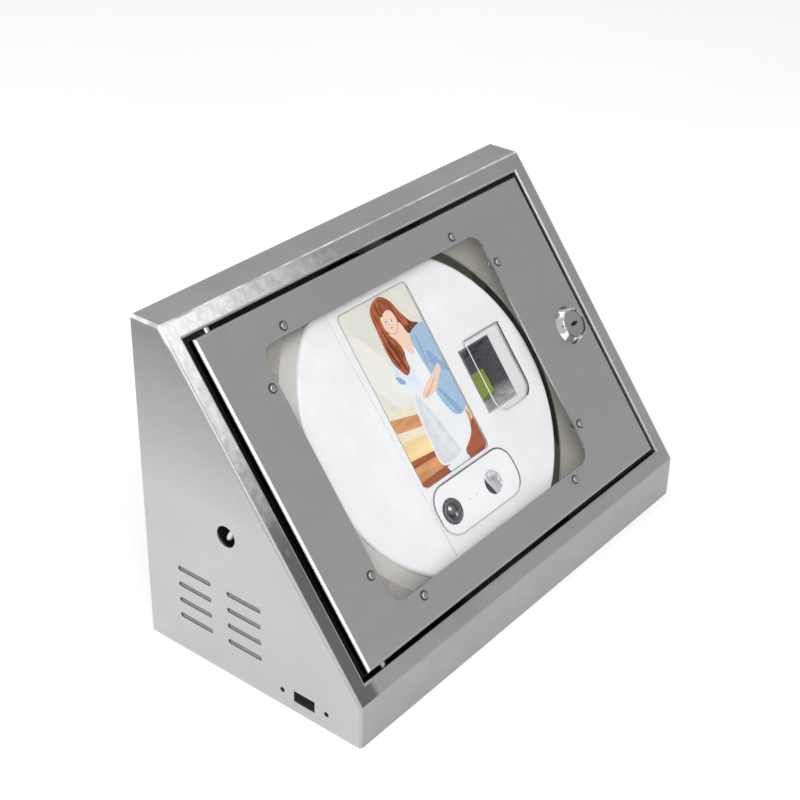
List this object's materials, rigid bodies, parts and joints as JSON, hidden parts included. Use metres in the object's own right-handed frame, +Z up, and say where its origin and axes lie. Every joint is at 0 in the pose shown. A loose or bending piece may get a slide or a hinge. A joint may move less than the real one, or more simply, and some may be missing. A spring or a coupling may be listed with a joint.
{
  "type": "terminal enclosure",
  "caption": "Slant-front steel cabinet with a lockable hinged window door over a round face and fingerprint terminal",
  "frame": {"origin": "middle of the base, on the surface it stands on", "axes": "+X across the width towards the lock side, +Y from the sloping front to the flat back, +Z up"},
  "size_m": [0.304, 0.149, 0.196],
  "materials": {
    "satin_steel": "satin brushed stainless steel",
    "plate_steel": "coarse brushed stainless steel",
    "zinc_steel": "bright zinc-plated steel",
    "chrome": "polished chrome",
    "dial_metal": "matte grey metal",
    "white_plastic": "smooth white ABS",
    "cream_plastic": "fine-grained cream ABS",
    "black_plastic": "black plastic",
    "black_rubber": "black foam rubber",
    "pane_clear": "clear acrylic",
    "screen_clear": "clear cover glass over a lit picture",
    "display_dark": "dark display frame",
    "lens_dark": "dark coated lens",
    "lens_silver": "half-silvered lens",
    "lamp_clear": "translucent lamp",
    "well_dark": "dark glossy plastic",
    "prism_green": "green-tinted prism",
    "guard_clear": "clear plastic",
    "board_green": "green circuit board",
    "bush_brass": "plain brass"
  },
  "bodies": {
    "cabinet": {"cabinet_shell": "satin_steel", "rear_panel": "satin_steel", "base_plate": "satin_steel", "plate_rails": "satin_steel", "mounting_plate": "plate_steel", "plate_screws": "zinc_steel", "door_seal": "black_rubber", "hinge_pins": "zinc_steel", "standoffs": "zinc_steel", "standoff_screws": "zinc_steel", "terminal_bracket": "zinc_steel", "terminal_front_shell": "white_plastic", "terminal_rear_shell": "cream_plastic", "terminal_screws": "zinc_steel", "screen_glass": "screen_clear", "display_module": "display_dark", "camera_bar": "white_plastic", "camera_ring": "black_plastic", "camera_lens": "lens_dark", "sensor_ring": "black_plastic", "sensor_lens": "lens_silver", "status_lamps": "lamp_clear", "fingerprint_well": "well_dark", "fingerprint_prism": "prism_green", "fingerprint_guard": "guard_clear", "main_board": "board_green", "board_screws": "zinc_steel"},
    "door": {"door_panel": "satin_steel", "window_pane": "pane_clear", "window_studs": "zinc_steel", "window_washers": "zinc_steel", "window_nuts": "zinc_steel", "hinge_bushes": "bush_brass", "lock_body": "chrome", "lock_nut": "zinc_steel"},
    "lock": {"lock_cylinder": "dial_metal", "lock_cam": "zinc_steel", "cam_screw": "zinc_steel"}
  },
  "joints": [
    {"name": "door_hinge", "type": "hinge", "parent": "cabinet", "child": "door", "pos_m": [-0.1233, -0.00577, 0.10797], "axis": [0, -0.606, -0.7955], "range_deg": [0, 110]},
    {"name": "lock_turn", "type": "hinge", "parent": "door", "child": "lock", "pos_m": [0.122, -0.01069, 0.10977], "axis": [0, 0.7955, -0.606], "range_deg": [0, 90]}
  ]
}
